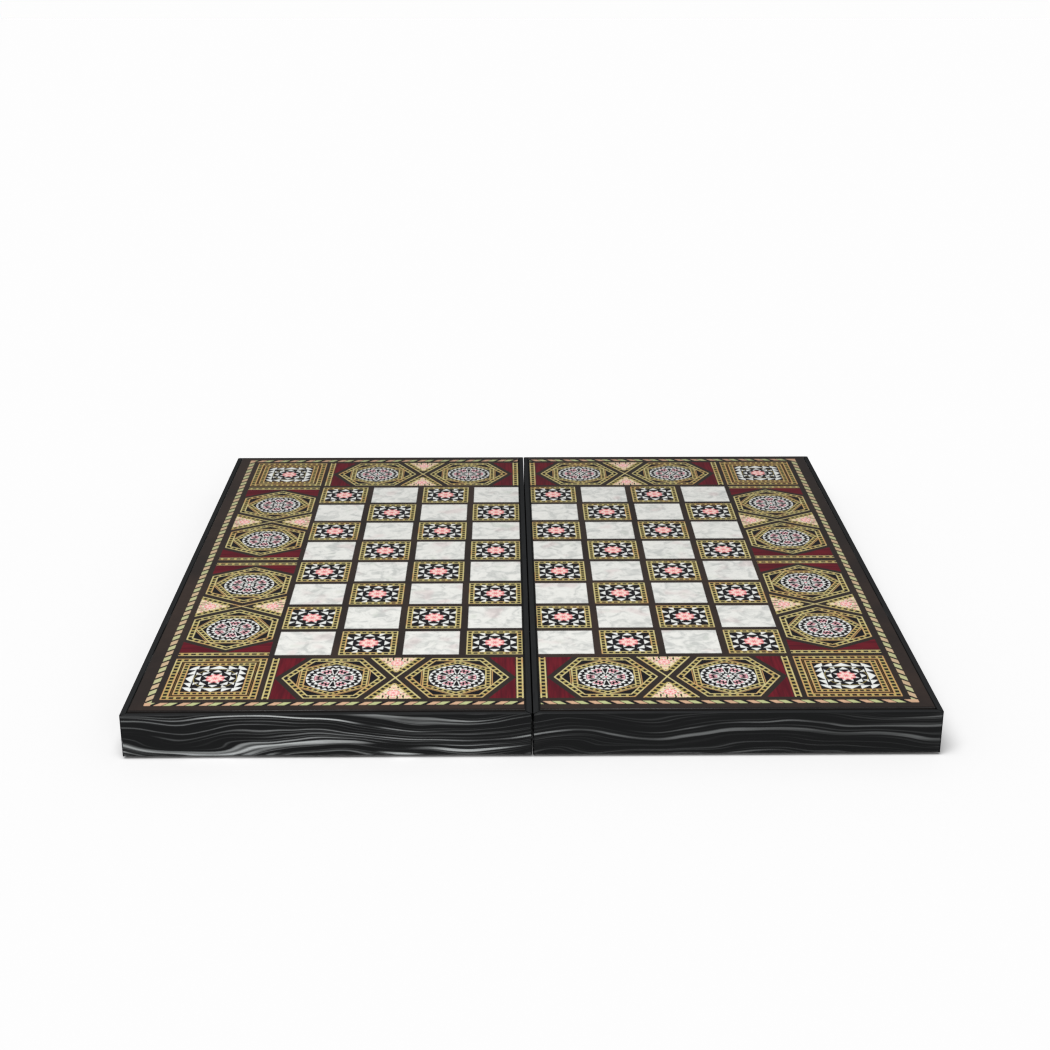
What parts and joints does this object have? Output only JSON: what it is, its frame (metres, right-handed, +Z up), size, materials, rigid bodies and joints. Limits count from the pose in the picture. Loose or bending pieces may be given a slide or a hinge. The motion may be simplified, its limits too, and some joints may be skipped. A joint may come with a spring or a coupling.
{
  "type": "backgammon set",
  "caption": "Folding backgammon case with a chess field on its outside, opened flat and turned over.",
  "frame": {"origin": "on the surface the case lies on, under the middle of the two opened trays", "axes": "+X to the right, across the fold; +Y away from the front; +Z up, out of the chess field"},
  "size_m": [0.5, 0.494, 0.0311],
  "materials": {
    "foil_wood": "near-black wood-grain foil with pale streaks, satin",
    "chess_print": "inlay-pattern print under gloss lacquer",
    "playfield_print": "inlay-pattern print under gloss lacquer",
    "brass": "brushed brass",
    "pin_steel": "bright drawn wire",
    "magnet_steel": "nickel plated"
  },
  "bodies": {
    "right_tray": {"right_chess_panel": "chess_print", "right_playfield_panel": "playfield_print", "right_front_rail": "foil_wood", "right_rear_rail": "foil_wood", "right_end_rail": "foil_wood", "right_hinge_rail": "foil_wood", "right_front_magnet": "magnet_steel", "right_rear_magnet": "magnet_steel", "front_hinge_right_leaf": "brass", "front_hinge_right_screw_1": "brass", "front_hinge_right_screw_2": "brass", "rear_hinge_right_leaf": "brass", "rear_hinge_right_screw_1": "brass", "rear_hinge_right_screw_2": "brass", "front_hinge_pin": "pin_steel", "rear_hinge_pin": "pin_steel"},
    "left_tray": {"left_chess_panel": "chess_print", "left_playfield_panel": "playfield_print", "left_front_rail": "foil_wood", "left_rear_rail": "foil_wood", "left_end_rail": "foil_wood", "left_hinge_rail": "foil_wood", "left_front_magnet": "magnet_steel", "left_rear_magnet": "magnet_steel", "front_hinge_left_leaf": "brass", "front_hinge_left_screw_1": "brass", "front_hinge_left_screw_2": "brass", "rear_hinge_left_leaf": "brass", "rear_hinge_left_screw_1": "brass", "rear_hinge_left_screw_2": "brass"}
  },
  "joints": [
    {"name": "board_fold", "type": "hinge", "parent": "right_tray", "child": "left_tray", "pos_m": [0, 0, 0.0016], "axis": [0, -1, 0], "range_deg": [0, 180]}
  ]
}
